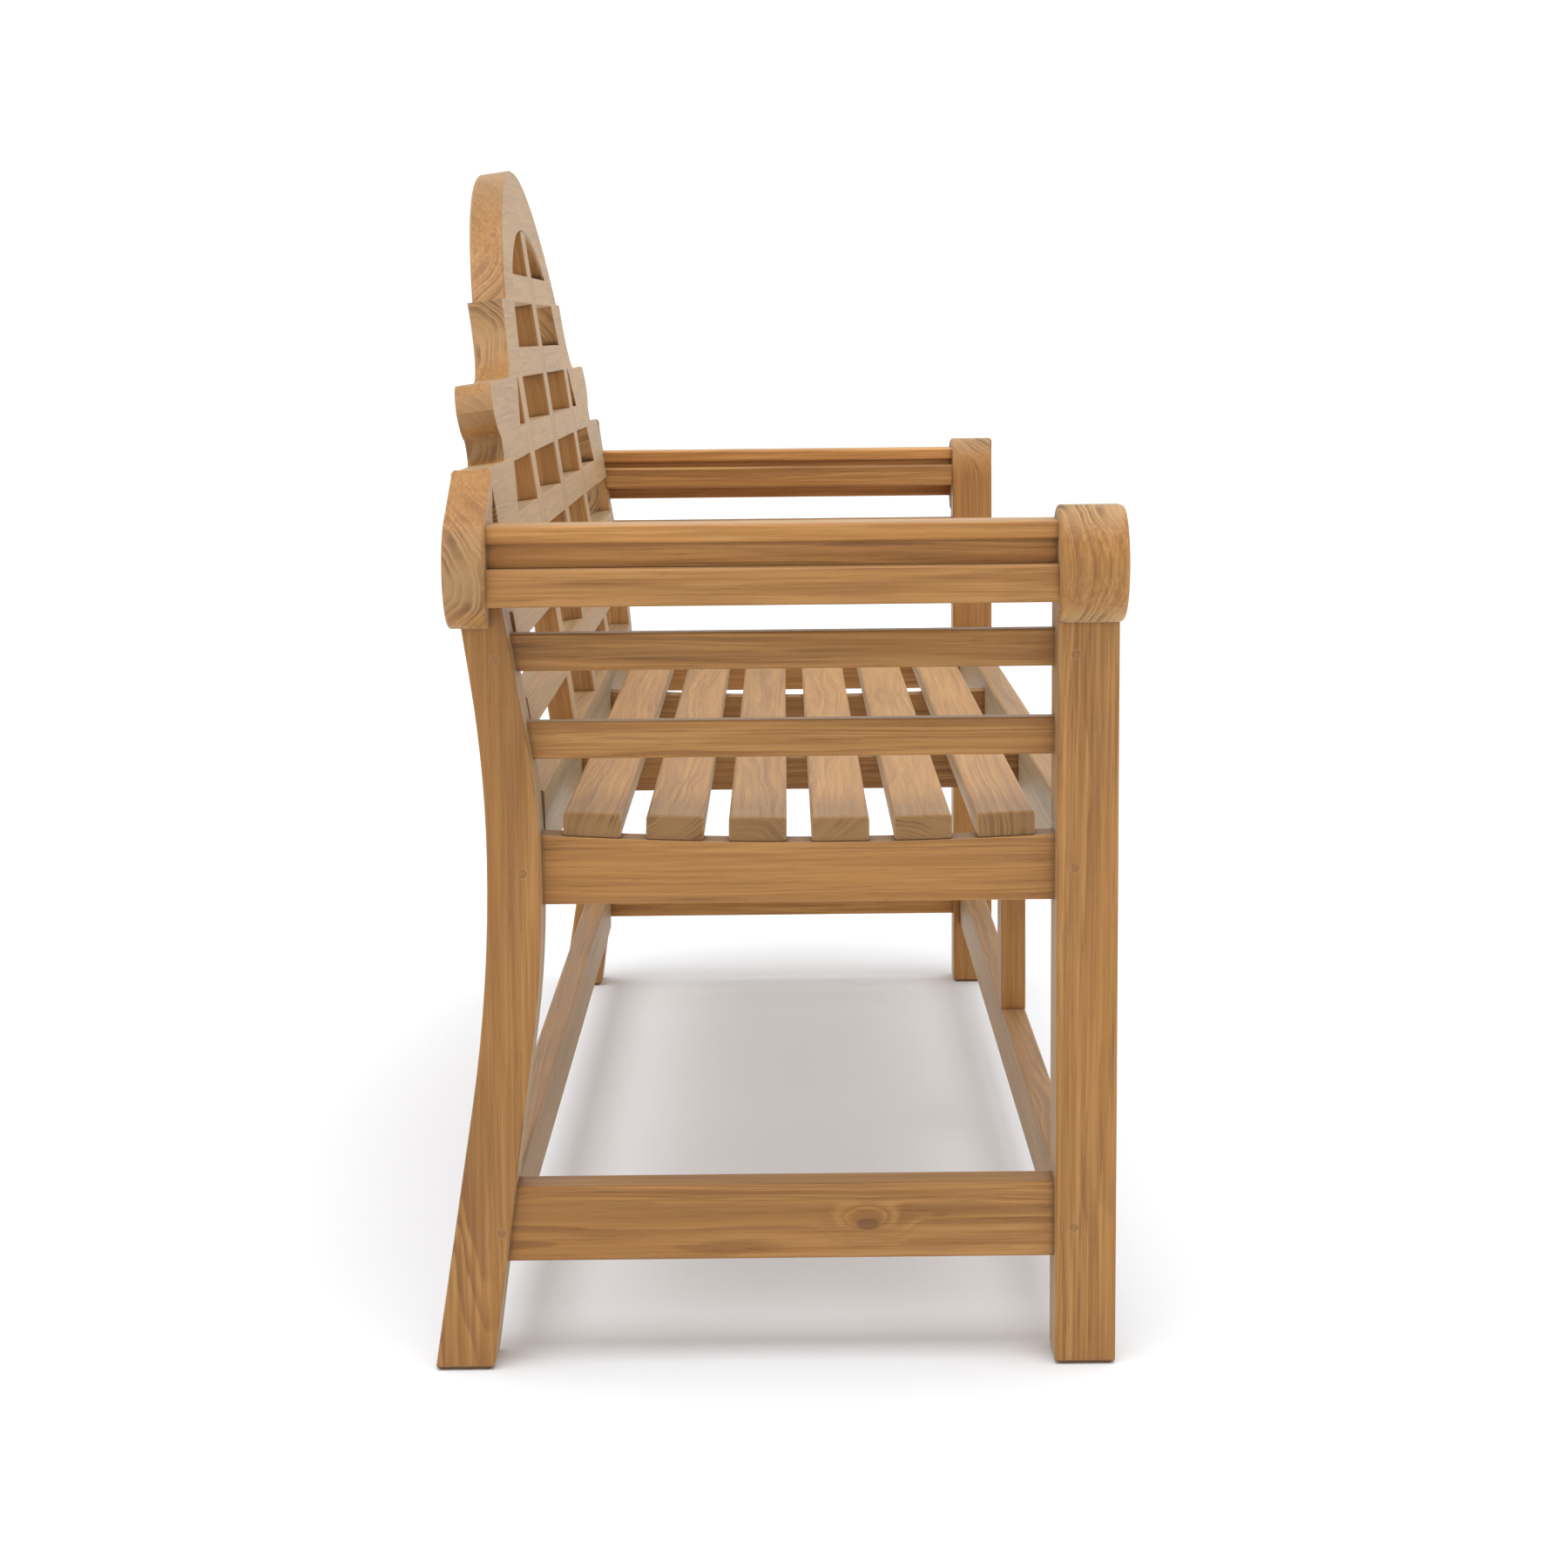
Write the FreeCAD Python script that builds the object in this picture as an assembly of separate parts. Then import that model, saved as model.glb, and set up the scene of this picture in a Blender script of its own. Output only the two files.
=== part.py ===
"""Garden bench of solid teak: arched lattice back, rolled slatted arms, dished slatted seat.

Millimetres, +Z up, +X along the bench, the sitter looks towards -Y. The origin is on the ground
under the middle of the bench. Every board, slat and dowel is its own solid in its own file, and
the members meet in real mortises, housings and cross laps.
"""
import FreeCAD, Part
import math
import os

from FreeCAD import Vector

# ---- overall driving sizes ---------------------------------------------------------------
BENCH_LENGTH = 1650.0          # over the rolled arms
ARRIS = 2.5                    # rounding of every long edge
PEG_RADIUS = 4.0               # draw pegs and hidden dowels

# ---- rolled arm ends -----------------------------------------------------------------------
ROLL_RADIUS = 49.0
ROLL_X = BENCH_LENGTH / 2 - ROLL_RADIUS
ROLL_Z = 690.0
ROLL_FRONT_Y = -298.0
ROLL_REAR_Y = -241.5
ROLL_ARRIS = 5.0

# ---- legs ----------------------------------------------------------------------------------
LEG_WIDTH = 55.0
LEG_INNER_X = ROLL_X - ROLL_RADIUS
LEG_OUTER_X = LEG_INNER_X + LEG_WIDTH
FRONT_LEG_FRONT_Y = -294.5
FRONT_LEG_REAR_Y = -242.5
FOOT_CHAMFER = 4.0
REAR_LEG_WAIST_FRONT_Y = 191.0     # front edge where the leg stands upright
REAR_LEG_WAIST_REAR_Y = 236.0
REAR_LEG_WAIST_Z = (420.0, 440.0, 450.0)      # front edge from and to, rear edge at
REAR_LEG_FOOT_SLOPES = (0.14, 0.163)          # front edge, rear edge
REAR_LEG_FOOT_BOWS = (900.0, 1350.0)
REAR_LEG_HEAD_SLOPES = (0.165, 0.1405)
REAR_LEG_HEAD_BOWS = (680.0, 1068.0)
REAR_LEG_TOP_Z = 700.0

# ---- seat ----------------------------------------------------------------------------------
SEAT_LOW_Z = 456.0             # lowest point of the dished slat bed
SEAT_DISH_RADIUS = 3570.0
SEAT_DISH_Y = -54.5
SLAT_WIDTH = 49.0
SLAT_PITCH = 70.0
SLAT_THICKNESS = 21.0
SLAT_COUNT = 6
REAR_SLAT_Y = 148.5
SLAT_END_INSET = 2.0
SIDE_RAIL_X = (LEG_INNER_X + 8.0, LEG_INNER_X + 38.0)
SIDE_RAIL_BOTTOM_Z = 405.0
FRONT_RAIL_Y = (-278.5, -251.5)
FRONT_RAIL_Z = (412.0, 476.0)
REAR_RAIL_Y = (190.5, 221.5)
REAR_RAIL_Z = (430.0, 497.0)
BEARER_WIDTH = 30.0
BEARER_BOTTOM_Z = 424.0
BEARER_X = (-250.0, 250.0)

# ---- stretchers ----------------------------------------------------------------------------
SIDE_STRETCHER_X = (LEG_INNER_X + 10.0, LEG_INNER_X + 45.0)
SIDE_STRETCHER_Z = (94.0, 160.0)
LONG_STRETCHER_Z = (80.0, 138.0)
REAR_STRETCHER_Y = (225.5, 252.5)
POST_WIDTH = 60.0

# ---- arm slats: (inner x, outer x, bottom z, top z) ------------------------------------------
TOP_BATTEN = (748.0, 800.0, 712.0, 727.0)
TOP_BATTEN_STEM = (757.0, 792.0, 692.5, 712.0)
OUTER_BATTEN = (794.0, 812.0, 661.0, 692.0)
INNER_BATTEN = (732.0, 749.0, 678.0, 705.0)
UPPER_SIDE_SLAT = (740.0, 760.0, 603.0, 634.5)
LOWER_SIDE_SLAT = (740.0, 760.0, 528.5, 560.0)
SIDE_SLAT_REAR_Y = 222.0       # the shoulders of side slats and stretchers lie inside the rear leg
STRETCHER_REAR_Y = 240.0

# ---- scroll boards at the ends of the back ---------------------------------------------------
SCROLL_Y = (228.5, 262.5)
SCROLL_TURN = 63.0             # where the sloping shoulder runs into the round, in degrees
SCROLL_ARRIS = 3.0

# ---- leaning back: local sizes lie in the plane of the back, height s up the slope -----------
LEAN = math.radians(8.0)
BACK_FOOT_Y = 122.2            # where the front face of the back would meet the ground
BOARD_THICKNESS = 33.0
LATTICE_THICKNESS = 24.0
RAIL_COUNT = 6
RAIL_HEIGHT = 29.5
RAIL_PITCH = 74.0
TOP_RAIL_BOTTOM = 923.5
UPRIGHT_WIDTH = 50.0
UPRIGHT_X = 302.0
CROWN_TOP = 1066.0
CROWN_RADIUS = 440.0
CROWN_FOOT = 926.0
ARCH_TOP = 1001.0
ARCH_RADIUS = 433.0
CROWN_ARRIS = 2.0
CROWN_FOOT_SPLAY = 33.0        # the crown's feet widen by this much towards their ends
HAUNCH_FOOT = 850.0
EAR_FOOT = 779.0
EAR_REACH = 612.0
SHOULDER_FOOT = TOP_RAIL_BOTTOM - 3 * RAIL_PITCH

# ---- joinery -------------------------------------------------------------------------------
TENON_THICKNESS = 12.0
TENON_SHOULDER = 8.0
STUB_TENON = 15.0
SIDE_TENON = 30.0
BATTEN_TENON = 12.0
LATTICE_TENON = 18.0
LATTICE_TENON_THICKNESS = 10.0

X_AXIS, Y_AXIS, Z_AXIS = Vector(1, 0, 0), Vector(0, 1, 0), Vector(0, 0, 1)


# ---- basic shapes --------------------------------------------------------------------------
def box(xs, ys, zs):
    """A plain block between pairs of coordinates."""
    (x0, x1), (y0, y1), (z0, z1) = sorted(xs), sorted(ys), sorted(zs)
    return Part.makeBox(x1 - x0, y1 - y0, z1 - z0, Vector(x0, y0, z0))


def edges_along(shape, axis):
    """The straight edges of a shape that run along an axis."""
    found = []
    for edge in shape.Edges:
        if isinstance(edge.Curve, Part.Line) and abs(edge.Curve.Direction.dot(axis)) > 0.999:
            found.append(edge)
    return found


def bar(xs, ys, zs, axis, radius=ARRIS):
    """A planed bar with its four long edges eased."""
    block = box(xs, ys, zs)
    return block.makeFillet(radius, edges_along(block, axis))


def line(start, end):
    """A straight edge between two points."""
    return Part.LineSegment(start, end).toShape()


def arc(start, middle, end):
    """A round edge through three points."""
    return Part.Arc(start, middle, end).toShape()


def arc_on(centre, radius, start, end, place):
    """An arc about a centre between two angles in degrees; place turns (u, v) into a point."""
    points = []
    for angle in (start, (start + end) / 2, end):
        turn = math.radians(angle)
        points.append(place(centre[0] + radius * math.cos(turn), centre[1] + radius * math.sin(turn)))
    return arc(*points)


def plate(edges, depth):
    """A flat board from the edges of its outline and the vector of its thickness."""
    face = Part.Face(Part.Wire(Part.__sortEdges__(edges)))
    return face.extrude(depth)


def mirrored(shape):
    """The same piece for the other end of the bench."""
    return shape.mirror(Vector(0, 0, 0), X_AXIS)


def fused(pieces):
    """One solid from pieces that overlap or meet, with no seams on flat faces."""
    whole = pieces[0].multiFuse(pieces[1:])
    return whole.removeSplitter()


def group(pieces):
    """Several separate solids that share one node."""
    return Part.makeCompound(pieces)


def middle(pair):
    """The value halfway between two."""
    return (pair[0] + pair[1]) / 2


def about(centre, width):
    """The pair of values a width apart about a centre."""
    return (centre - width / 2, centre + width / 2)


def dowel(start, axis, length, radius=PEG_RADIUS):
    """A round pin from a point along an axis."""
    return Part.makeCylinder(radius, length, start, axis)


# ---- legs ----------------------------------------------------------------------------------
def front_leg():
    """Square leg whose head is rounded as the inner half of the arm roll."""
    def at(x, z):
        return Vector(x, FRONT_LEG_REAR_Y, z)

    head_z = ROLL_Z + math.sqrt(ROLL_RADIUS ** 2 - (LEG_OUTER_X - ROLL_X) ** 2)
    head_turn = math.degrees(math.atan2(head_z - ROLL_Z, LEG_OUTER_X - ROLL_X))
    outline = [
        line(at(LEG_INNER_X, 0), at(LEG_OUTER_X, 0)),
        line(at(LEG_OUTER_X, 0), at(LEG_OUTER_X, head_z)),
        arc_on((ROLL_X, ROLL_Z), ROLL_RADIUS, head_turn, 180.0, at),
        line(at(LEG_INNER_X, ROLL_Z), at(LEG_INNER_X, 0)),
    ]
    leg = plate(outline, Vector(0, FRONT_LEG_FRONT_Y - FRONT_LEG_REAR_Y, 0))
    leg = leg.makeFillet(ARRIS, edges_along(leg, Z_AXIS))
    return leg.common(foot_block((LEG_INNER_X, LEG_OUTER_X), (FRONT_LEG_FRONT_Y, FRONT_LEG_REAR_Y)))


def foot_block(xs, ys):
    """A tall block with a chamfered underside, which trims a leg's foot."""
    block = box(xs, ys, (0, 800.0))
    sole = [edge for edge in block.Edges if edge.BoundBox.ZMax < 0.01]
    return block.makeChamfer(FOOT_CHAMFER, sole)


def roll_cheek():
    """Outer half of the front arm roll, glued and dowelled to the head of the leg."""
    drum = Part.makeCylinder(
        ROLL_RADIUS, ROLL_REAR_Y - ROLL_FRONT_Y, Vector(ROLL_X, ROLL_FRONT_Y, ROLL_Z), Y_AXIS)
    drum = drum.makeFillet(ROLL_ARRIS, [e for e in drum.Edges if isinstance(e.Curve, Part.Circle)])
    return drum.common(box((LEG_OUTER_X, BENCH_LENGTH), (-400, 0), (0, 900)))


def bow(y, z, radius, turn, rise):
    """End and middle of an arc that leaves (y, z) upright and bends towards +Y over a turn."""
    def along(angle):
        return Vector(0, y + radius * (1 - math.cos(angle)), z + rise * radius * math.sin(angle))

    return along(turn / 2), along(turn)


def run_to(point, turn, rise, z):
    """Where the straight run that follows a bow reaches the height z."""
    return Vector(0, point.y + rise * (z - point.z) * math.tan(turn), z)


def rear_leg_outline():
    """Closed side view of the rear leg: splayed foot, upright waist, leaning head."""
    front_foot_turn, rear_foot_turn = (math.atan(slope) for slope in REAR_LEG_FOOT_SLOPES)
    front_head_turn, rear_head_turn = (math.atan(slope) for slope in REAR_LEG_HEAD_SLOPES)
    low, high, back = REAR_LEG_WAIST_Z
    front_low = Vector(0, REAR_LEG_WAIST_FRONT_Y, low)
    front_high = Vector(0, REAR_LEG_WAIST_FRONT_Y, high)
    rear_waist = Vector(0, REAR_LEG_WAIST_REAR_Y, back)
    shin_mid, shin_end = bow(front_low.y, low, REAR_LEG_FOOT_BOWS[0], front_foot_turn, -1)
    calf_mid, calf_end = bow(rear_waist.y, back, REAR_LEG_FOOT_BOWS[1], rear_foot_turn, -1)
    chest_mid, chest_end = bow(front_high.y, high, REAR_LEG_HEAD_BOWS[0], front_head_turn, 1)
    nape_mid, nape_end = bow(rear_waist.y, back, REAR_LEG_HEAD_BOWS[1], rear_head_turn, 1)
    front_foot = run_to(shin_end, front_foot_turn, -1, 0.0)
    rear_foot = run_to(calf_end, rear_foot_turn, -1, 0.0)
    front_top = run_to(chest_end, front_head_turn, 1, REAR_LEG_TOP_Z)
    rear_top = run_to(nape_end, rear_head_turn, 1, REAR_LEG_TOP_Z)
    return [
        line(front_foot, shin_end), arc(shin_end, shin_mid, front_low), line(front_low, front_high),
        arc(front_high, chest_mid, chest_end), line(chest_end, front_top), line(front_top, rear_top),
        line(rear_top, nape_end), arc(nape_end, nape_mid, rear_waist),
        arc(rear_waist, calf_mid, calf_end), line(calf_end, rear_foot), line(rear_foot, front_foot),
    ]


def rear_leg():
    """Sawn rear leg with a chamfered foot and eased long edges."""
    edges = rear_leg_outline()
    for edge in edges:
        edge.translate(Vector(LEG_INNER_X, 0, 0))
    leg = plate(edges, Vector(LEG_WIDTH, 0, 0))
    sole = [edge for edge in leg.Edges if edge.BoundBox.ZMax < 0.01]
    leg = leg.makeChamfer(FOOT_CHAMFER, sole)
    long_edges = [edge for edge in leg.Edges if edge.BoundBox.XLength < 0.01]
    long_edges = [edge for edge in long_edges if edge.BoundBox.ZLength > 10.0]
    return leg.makeFillet(ARRIS, long_edges)


# ---- seat frame ----------------------------------------------------------------------------
def dish_z(y):
    """Height of the slat bed at a place across the seat."""
    return SEAT_LOW_Z + SEAT_DISH_RADIUS - math.sqrt(SEAT_DISH_RADIUS ** 2 - (y - SEAT_DISH_Y) ** 2)


def dished_board(xs, ys, bottom):
    """A cross rail whose top edge follows the dish of the seat."""
    def at(y):
        return Vector(xs[0], y, dish_z(y))

    low_front, low_rear = Vector(xs[0], ys[0], bottom), Vector(xs[0], ys[1], bottom)
    outline = [
        line(low_front, low_rear), line(low_rear, at(ys[1])),
        arc(at(ys[1]), at(middle(ys)), at(ys[0])), line(at(ys[0]), low_front),
    ]
    return plate(outline, Vector(xs[1] - xs[0], 0, 0))


def between_legs(body, legs, xs, ys, zs, shoulder=TENON_SHOULDER):
    """Shoulder a side member against both legs and run one tenon, ys long, through it into both."""
    for leg in legs:
        body = body.cut(leg)
    tenon = box(about(middle(xs), TENON_THICKNESS), ys, (zs[0] + shoulder, zs[1] - shoulder))
    return fused([body, tenon])


def side_member(sizes, legs, rear_y):
    """A slat or stretcher from leg to leg under the arm, with its tenons."""
    xs, zs = sizes[0:2], sizes[2:4]
    shoulder = min(TENON_SHOULDER, (zs[1] - zs[0]) / 6)
    body = bar(xs, (FRONT_LEG_REAR_Y - 5.0, rear_y), zs, Y_AXIS)
    ys = (FRONT_LEG_REAR_Y - SIDE_TENON, rear_y + 8.0)
    return between_legs(body, legs, xs, ys, zs, shoulder)


def seat_side_rail(legs):
    """Deep rail between the legs that carries the ends of the seat slats."""
    body = dished_board(SIDE_RAIL_X, (FRONT_LEG_REAR_Y - 5.0, 200.0), SIDE_RAIL_BOTTOM_Z)
    ys = (FRONT_LEG_REAR_Y - SIDE_TENON, REAR_LEG_WAIST_FRONT_Y + SIDE_TENON)
    return between_legs(body, legs, SIDE_RAIL_X, ys, (SIDE_RAIL_BOTTOM_Z, SEAT_LOW_Z))


def long_rail(ys, zs, end_x=LEG_INNER_X, stub=STUB_TENON):
    """A rail along the bench with a stub tenon at each end."""
    body = bar((-end_x, end_x), ys, zs, X_AXIS)
    tenon = box((-end_x - stub, end_x + stub), about(middle(ys), TENON_THICKNESS),
                (zs[0] + TENON_SHOULDER, zs[1] - TENON_SHOULDER))
    return fused([body, tenon])


def centre_post():
    """Short post between the front stretcher and the front seat rail."""
    foot, head = LONG_STRETCHER_Z[1], FRONT_RAIL_Z[0]
    body = bar(about(0.0, POST_WIDTH), FRONT_RAIL_Y, (foot, head), Z_AXIS)
    tenon = box(about(0.0, POST_WIDTH - 2 * TENON_SHOULDER),
                about(middle(FRONT_RAIL_Y), TENON_THICKNESS), (foot - STUB_TENON, head + STUB_TENON))
    return fused([body, tenon])


def bearer(x):
    """Cross bearer from the front rail to the rear rail under the slats."""
    xs, ys = about(x, BEARER_WIDTH), (FRONT_RAIL_Y[1], REAR_RAIL_Y[0])
    body = dished_board(xs, ys, BEARER_BOTTOM_Z)
    tenon = box(about(x, TENON_THICKNESS), (ys[0] - STUB_TENON, ys[1] + STUB_TENON),
                (REAR_RAIL_Z[0] + 2.0, SEAT_LOW_Z - 5.0))
    return fused([body, tenon])


def slat_y(index):
    """The middle of a seat slat across the seat; slat 0 is the rearmost."""
    return REAR_SLAT_Y - index * SLAT_PITCH


def on_dish(shape, y):
    """Tip a piece made about the origin to the slope of the seat and set it on the slat bed."""
    tip = math.degrees(math.asin((y - SEAT_DISH_Y) / SEAT_DISH_RADIUS))
    shape.rotate(Vector(0, 0, 0), X_AXIS, tip)
    shape.translate(Vector(0, y, dish_z(y)))
    return shape


def seat_slat(index):
    """One seat slat with all its edges eased."""
    end = SIDE_RAIL_X[1] - SLAT_END_INSET
    slat = box((-end, end), about(0.0, SLAT_WIDTH), (0.0, SLAT_THICKNESS))
    slat = slat.makeFillet(3.0, edges_along(slat, X_AXIS))
    ends = [edge for edge in slat.Edges if edge.BoundBox.XLength < 0.01]
    slat = slat.makeChamfer(0.8, ends)
    return on_dish(slat, slat_y(index))


def slat_dowels():
    """Hidden dowels that pin the slat ends to the side rails."""
    pins = []
    for index in range(SLAT_COUNT):
        for side in (-1, 1):
            start = Vector(side * middle(SIDE_RAIL_X), 0, -16.0)
            pins.append(on_dish(dowel(start, Z_AXIS, 28.0), slat_y(index)))
    return pins


def slat_screws():
    """Countersunk screws driven up through the bearers into the slats."""
    screws = []
    for index in range(SLAT_COUNT):
        for x in BEARER_X:
            y = slat_y(index)
            depth = dish_z(y) - BEARER_BOTTOM_Z
            shank = dowel(Vector(x, 0, 4.0 - depth), Z_AXIS, depth + 8.0, 2.0)
            head = Part.makeCone(4.0, 2.0, 3.0, Vector(x, 0, 1.0 - depth), Z_AXIS)
            screws.append(on_dish(fused([head, shank]), y))
    return screws


# ---- arms ----------------------------------------------------------------------------------
def arm_batten(sizes):
    """A batten of the arm roll with a stub tenon into each roll."""
    xs, zs = sizes[0:2], sizes[2:4]
    inset = 3.0
    body = bar(xs, (FRONT_LEG_REAR_Y, SCROLL_Y[0]), zs, Y_AXIS, inset)
    tenon = box((xs[0] + inset, xs[1] - inset),
                (FRONT_LEG_REAR_Y - BATTEN_TENON, SCROLL_Y[0] + BATTEN_TENON),
                (zs[0] + inset, zs[1] - inset))
    return fused([body, tenon])


def arm_top_batten():
    """The flat top batten, stepped back below into a stem that closes the roll."""
    xs, zs = TOP_BATTEN_STEM[0:2], TOP_BATTEN_STEM[2:4]
    stem = box(xs, (FRONT_LEG_REAR_Y, SCROLL_Y[0]), (zs[0], zs[1] + ARRIS))
    return fused([arm_batten(TOP_BATTEN), stem])


def scroll_board():
    """Upright board that ends the back in a round scroll, level with the front arm roll."""
    def at(x, z):
        return Vector(x, SCROLL_Y[0], z)

    turn = math.radians(SCROLL_TURN)
    shoulder = at(ROLL_X + ROLL_RADIUS * math.cos(turn), ROLL_Z + ROLL_RADIUS * math.sin(turn))
    rise = (shoulder.x - LEG_INNER_X) / math.tan(turn)
    outline = [
        line(at(LEG_INNER_X, ROLL_Z - ROLL_RADIUS), at(LEG_INNER_X, shoulder.z + rise)),
        line(at(LEG_INNER_X, shoulder.z + rise), shoulder),
        arc_on((ROLL_X, ROLL_Z), ROLL_RADIUS, SCROLL_TURN, -90.0, at),
        line(at(ROLL_X, ROLL_Z - ROLL_RADIUS), at(LEG_INNER_X, ROLL_Z - ROLL_RADIUS)),
    ]
    board = plate(outline, Vector(0, SCROLL_Y[1] - SCROLL_Y[0], 0))
    round_edges = []
    for edge in board.Edges:
        on_face = edge.BoundBox.YLength < 0.01 and edge.BoundBox.XMax > LEG_INNER_X + 5.0
        if on_face and edge.BoundBox.ZLength > 1.0:
            round_edges.append(edge)
    return board.makeFillet(SCROLL_ARRIS, round_edges)


# ---- leaning back --------------------------------------------------------------------------
def lean(shape):
    """Tip a piece of the back, made upright with its front face at y = 0, into its place."""
    shape.rotate(Vector(0, 0, 0), X_AXIS, -math.degrees(LEAN))
    shape.translate(Vector(0, BACK_FOOT_Y, 0))
    return shape


def flat(x, s):
    """A point of the front plane of the back, before it leans."""
    return Vector(x, 0, s)


def chain(points):
    """Straight edges through a list of points."""
    return [line(start, end) for start, end in zip(points, points[1:])]


def crown_board():
    """Arched top board of the back, with the arched opening cut in its lower edge."""
    disc = Part.makeCylinder(
        CROWN_RADIUS, BOARD_THICKNESS, Vector(0, 0, CROWN_TOP - CROWN_RADIUS), Y_AXIS)
    disc = disc.makeChamfer(CROWN_ARRIS, [e for e in disc.Edges if isinstance(e.Curve, Part.Circle)])
    board = disc.common(arch_mask())
    arches = []
    for edge in board.Edges:
        if isinstance(edge.Curve, Part.Circle) and abs(edge.Curve.Radius - ARCH_RADIUS) < 0.1:
            arches.append(edge)
    return lean(board.makeChamfer(CROWN_ARRIS, arches))


def arch_mask():
    """All of the crown's plane above its feet and its arched opening, made upright."""
    spring = TOP_RAIL_BOTTOM + RAIL_HEIGHT
    rise = spring - (ARCH_TOP - ARCH_RADIUS)
    spring_x = math.sqrt(ARCH_RADIUS ** 2 - rise ** 2)
    foot_x = spring_x + CROWN_FOOT_SPLAY
    far = CROWN_RADIUS
    outline = [arc(flat(-spring_x, spring), flat(0, ARCH_TOP), flat(spring_x, spring))]
    outline += chain([flat(spring_x, spring), flat(foot_x, CROWN_FOOT), flat(far, CROWN_FOOT),
                      flat(far, CROWN_TOP + 20.0), flat(-far, CROWN_TOP + 20.0),
                      flat(-far, CROWN_FOOT), flat(-foot_x, CROWN_FOOT), flat(-spring_x, spring)])
    return plate(outline, Vector(0, BOARD_THICKNESS, 0))


def haunch_board():
    """Board under the crown's foot, stepping out in a cove to the ear below."""
    top_x, cove = 365.0, 70.0
    foot_x = top_x + cove
    half_turn = cove * math.sqrt(0.5)
    inner = [flat(268.0, HAUNCH_FOOT), flat(262.0, 879.0), flat(236.0, 920.0), flat(232.0, CROWN_FOOT)]
    outline = chain(inner + [flat(top_x, CROWN_FOOT), flat(top_x, HAUNCH_FOOT + cove)])
    outline += [
        arc(flat(top_x, HAUNCH_FOOT + cove), flat(foot_x - half_turn, HAUNCH_FOOT + cove - half_turn),
            flat(foot_x, HAUNCH_FOOT)),
        line(flat(foot_x, HAUNCH_FOOT), inner[0]),
    ]
    return lean(plate(outline, Vector(0, BOARD_THICKNESS, 0)))


def ear_board():
    """Board that ends in the round nose and the undercut neck of the back's outline."""
    rail_3 = TOP_RAIL_BOTTOM - 2 * RAIL_PITCH
    nose_z, neck_x, neck_z = 826.0, 586.0, 802.0
    inner = [flat(497.0, EAR_FOOT), flat(497.0, rail_3), flat(388.0, rail_3),
             flat(384.0, rail_3 + RAIL_HEIGHT), flat(336.0, HAUNCH_FOOT)]
    outline = chain(inner + [flat(575.0, HAUNCH_FOOT)])
    outline += [
        arc(flat(575.0, HAUNCH_FOOT), flat(602.0, 842.0), flat(EAR_REACH, nose_z)),
        arc(flat(EAR_REACH, nose_z), flat(604.0, 811.0), flat(neck_x, neck_z)),
        arc(flat(neck_x, neck_z), flat(583.0, 790.0), flat(593.0, EAR_FOOT)),
        line(flat(593.0, EAR_FOOT), inner[0]),
    ]
    return lean(plate(outline, Vector(0, BOARD_THICKNESS, 0)))


def shoulder_board():
    """Lowest shaped board of the back, between the lattice and the scroll."""
    rail_3 = TOP_RAIL_BOTTOM - 2 * RAIL_PITCH
    rail_4_top = SHOULDER_FOOT + RAIL_HEIGHT
    outline = chain([flat(497.0, EAR_FOOT), flat(LEG_INNER_X, EAR_FOOT),
                     flat(LEG_INNER_X, SHOULDER_FOOT),
                     flat(540.0, SHOULDER_FOOT), flat(538.0, rail_4_top), flat(503.0, rail_3),
                     flat(497.0, rail_3), flat(497.0, EAR_FOOT)])
    return lean(plate(outline, Vector(0, BOARD_THICKNESS, 0)))


def lattice_bar(xs, ss, axis):
    """A lattice member in the plane of the back, flush with its front."""
    return lean(bar(xs, (0.0, LATTICE_THICKNESS), ss, axis, 1.5))


def lattice_tenon(xs, ss):
    """The thin tongue that joins a lattice member to the frame round it."""
    return lean(box(xs, about(LATTICE_THICKNESS / 2, LATTICE_TENON_THICKNESS), ss))


def rail_bottom(index):
    """Height up the back of the lower edge of a level rail; rail 0 is the top one."""
    return TOP_RAIL_BOTTOM - index * RAIL_PITCH


def back_rails(frame_boards, uprights):
    """Six level rails, shouldered to the frame and halved over the uprights."""
    reach = (205.0, 264.0, 386.0, 539.0, LEG_INNER_X, LEG_INNER_X)
    half = LATTICE_THICKNESS / 2
    rails = []
    for index in range(RAIL_COUNT):
        ss = (rail_bottom(index), rail_bottom(index) + RAIL_HEIGHT)
        spare = 0.0 if index > 3 else 30.0
        rail = lattice_bar((-reach[index] - spare, reach[index] + spare), ss, X_AXIS)
        for board in frame_boards:
            rail = rail.cut(board)
        rail = max(rail.Solids, key=lambda solid: solid.Volume)
        inset = 5.0
        tongue = LATTICE_TENON if index < 4 else STUB_TENON
        tenon = lattice_tenon((-reach[index] - tongue, reach[index] + tongue),
                              (ss[0] + inset, ss[1] - inset))
        rail = fused([rail, tenon])
        for x, top in uprights:
            if ss[0] < top - 1.0:
                slot = box(about(x, UPRIGHT_WIDTH), (-1.0, half), (ss[0] - 1.0, ss[1] + 1.0))
                rail = rail.cut(lean(slot))
        rails.append(rail)
    return rails


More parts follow.
